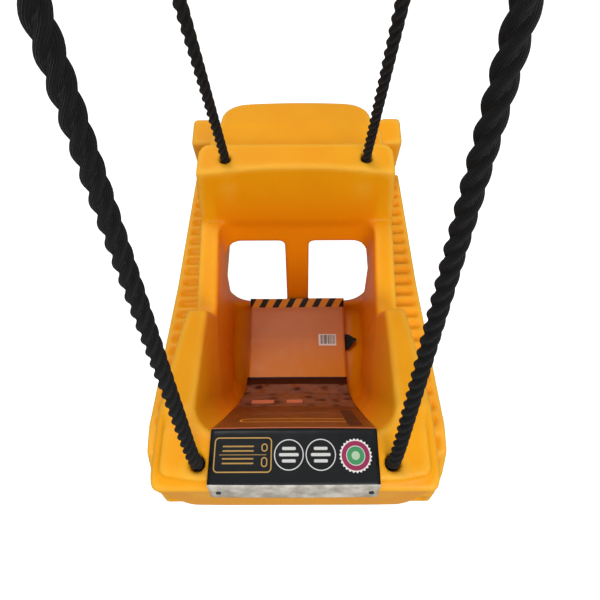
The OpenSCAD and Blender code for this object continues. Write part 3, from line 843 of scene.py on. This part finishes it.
def lay_strap(name, node, x_from, x_to, body, tip):
    """A flat webbing strap across the floor, with a gentle rise in the middle of its run; tip draws its free
    end to a slanting point and lifts it."""
    x = np.linspace(x_from, x_to, 70)
    t = (x - x_from) / (x_to - x_from)
    z = FLOOR_Z + 1.7 + 0.7 * np.sin(np.pi * t) + (16 * ease(t, 0.72, 1.0) if tip else 0)
    line = np.stack([x, np.full(70, STRAP_Y), z], 1)
    u, face = band_ring(18)
    width = STRAP_HALF * (1 - 0.85 * ease(t, 0.80, 1.0)) if tip else np.full(70, STRAP_HALF)
    wide = u[None] * width[:, None]
    high = np.broadcast_to(face * 1.1 * (1 - 0.35 * np.abs(u) ** 8), wide.shape)     # thinner at its edges
    points = rings_along(line, (0, 1, 0), (wide, high)).reshape(-1, 3)
    uv = np.stack(np.broadcast_arrays(x[:, None], wide), -1).reshape(-1, 2) / 1000
    return make_piece(name, place(points), band_faces(70, 18), WEBBING, body, (node,), uv)


lay_strap("webbing_left", "strap_left", -65.5, -20.5, "buckle", False)
lay_strap("webbing_right", "strap_right", 27, 107, "seat", True)

# ---- CAD parts that stay, in their own finishes ----
KEPT = {STEEL: ("knot_washers", "thimble_left", "thimble_right", "loop_screws", "gate_pin_left",
                "gate_pin_right", "gate_spring_left", "gate_spring_right"),
        BRIGHT: ("carabiner_left", "carabiner_right", "gate_left", "gate_right"),
        SLEEVE: ("ferrule_left", "ferrule_right"),
        ACETAL: ("buckle_housing", "buckle_insert", "strap_loops"),
        PIN: ("card_pins",)}
for finish, names in KEPT.items():
    for name in names:
        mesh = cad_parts[name].data
        mesh.materials.clear()
        mesh.materials.append(finish)


# ---- floor and light ----
def flat_floor(name, half, level):
    """A plain pale floor, square, below the seat."""
    mesh = bpy.data.meshes.new(name)
    mesh.from_pydata([(-half, -half, level), (half, -half, level), (half, half, level), (-half, half, level)],
                     [], [(0, 1, 2, 3)])
    f = Finish("studio_floor", Roughness=0.9, Specular_IOR_Level=0.1, Emission_Color=(1, 1, 1),
               Emission_Strength=0.6)
    f.set(Base_Color=f.mix(f.span(f.noise(3, 2), 0.3, 0.7), (0.90, 0.90, 0.90), (0.92, 0.92, 0.915)))
    mesh.materials.append(f.made)
    floor = bpy.data.objects.new(name, mesh)
    bpy.context.scene.collection.objects.link(floor)
    floor.visible_diffuse = floor.visible_glossy = False


def soft_light(name, at, size, watts):
    """A warm white disk lamp that faces the seat."""
    data = bpy.data.lights.new(name, "AREA")
    data.shape, data.size, data.energy, data.color = "DISK", size, watts, (1.0, 0.97, 0.94)
    lamp = bpy.data.objects.new(name, data)
    bpy.context.scene.collection.objects.link(lamp)
    lamp.location = at
    lamp.rotation_euler = (Vector((0, 0, -1.0)) - Vector(at)).to_track_quat("-Z", "Y").to_euler()


flat_floor("floor", 30.0, -1.62)
soft_light("key", (-0.5, 0.9, 1.1), 0.9, 12.5)
soft_light("fill", (0.5, -1.7, 0.4), 1.0, 20)


def studio_sky():
    """A soft white sky: brightest overhead, and less than half that at the horizon and below."""
    world = bpy.data.worlds.new("studio")
    world.use_nodes = True
    tree = world.node_tree
    ray = tree.nodes.new("ShaderNodeTexCoord")
    parts = tree.nodes.new("ShaderNodeSeparateXYZ")
    ramp = tree.nodes.new("ShaderNodeMapRange")
    for k, value in enumerate((-0.05, 0.9, 0.30, 0.66), 1):    # from these heights to these strengths
        ramp.inputs[k].default_value = value
    tree.links.new(ray.outputs["Generated"], parts.inputs[0])
    tree.links.new(parts.outputs[2], ramp.inputs[0])
    tree.links.new(ramp.outputs[0], tree.nodes["Background"].inputs[1])
    tree.nodes["Background"].inputs[0].default_value = (1, 1, 1, 1)
    bpy.context.scene.world = world


studio_sky()
bpy.context.scene.view_settings.view_transform = "Standard"
